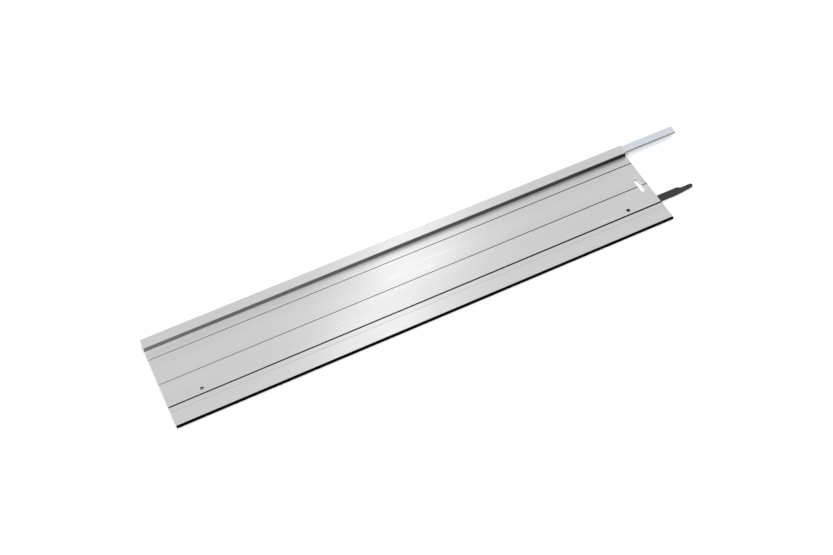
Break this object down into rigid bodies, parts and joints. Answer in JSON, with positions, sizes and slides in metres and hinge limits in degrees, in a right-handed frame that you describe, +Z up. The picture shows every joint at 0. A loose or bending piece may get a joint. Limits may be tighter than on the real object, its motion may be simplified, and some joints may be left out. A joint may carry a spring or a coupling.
{
  "type": "plunge saw guide rail",
  "caption": "Long flat extruded guide rail with a raised rear rib, rubber cutting edge, sliding joining bar and tapered locating tongue at one end.",
  "frame": {"origin": "on the table, under the middle of the rail's length, at the middle of the middle grip strip's underside", "axes": "+X along the rail towards the end with the joining bar, +Y from the cutting edge to the raised rib, +Z up"},
  "size_m": [1.115, 0.1984, 0.0155],
  "materials": {
    "satin_aluminium": "satin anodised with fine lengthwise extrusion lines",
    "black_rubber": "matt extruded rubber",
    "grip_foam": "matt closed-cell foam rubber",
    "glide_plastic": "smooth low-friction plastic",
    "zinc_plated_steel": "bright bluish zinc plating",
    "black_oxide_steel": "black oxide",
    "tongue_plastic": "moulded charcoal plastic"
  },
  "bodies": {
    "rail": {"rail_profile": "satin_aluminium", "splinter_guard": "black_rubber", "grip_strip_front": "grip_foam", "grip_strip_middle": "grip_foam", "grip_strip_rear": "grip_foam", "glide_inlay": "glide_plastic", "glide_liner": "glide_plastic"},
    "bar": {"joining_bar": "zinc_plated_steel"},
    "tongue": {"locating_tongue": "tongue_plastic"},
    "screw_left_outer": {"clamp_screw_left_outer": "black_oxide_steel"},
    "screw_left_inner": {"clamp_screw_left_inner": "black_oxide_steel"},
    "screw_right_outer": {"clamp_screw_right_outer": "black_oxide_steel"},
    "screw_right_inner": {"clamp_screw_right_inner": "black_oxide_steel"},
    "stop_screw": {"tongue_stop_screw": "black_oxide_steel"}
  },
  "joints": [
    {"name": "bar_slide", "type": "slide", "parent": "rail", "child": "bar", "axis": [1, 0, 0], "range_m": [-0.115, 0.1]},
    {"name": "tongue_slide", "type": "slide", "parent": "rail", "child": "tongue", "axis": [1, 0, 0], "range_m": [-0.06, 0]},
    {"name": "clamp_turn_left_outer", "type": "hinge", "parent": "rail", "child": "screw_left_outer", "pos_m": [-0.47, 0.0886, 0.0063], "axis": [0, 0, 1], "range_deg": [-720, 0]},
    {"name": "clamp_turn_left_inner", "type": "hinge", "parent": "rail", "child": "screw_left_inner", "pos_m": [-0.41, 0.0886, 0.0063], "axis": [0, 0, 1], "range_deg": [-720, 0]},
    {"name": "clamp_turn_right_outer", "type": "hinge", "parent": "rail", "child": "screw_right_outer", "pos_m": [0.47, 0.0886, 0.0063], "axis": [0, 0, 1], "range_deg": [-720, 100]},
    {"name": "clamp_turn_right_inner", "type": "hinge", "parent": "rail", "child": "screw_right_inner", "pos_m": [0.41, 0.0886, 0.0063], "axis": [0, 0, 1], "range_deg": [-720, 100]},
    {"name": "stop_screw_turn", "type": "hinge", "parent": "rail", "child": "stop_screw", "pos_m": [0.4335, -0.0454, 0.0045], "axis": [0, 0, -1], "range_deg": [-540, 0]}
  ]
}
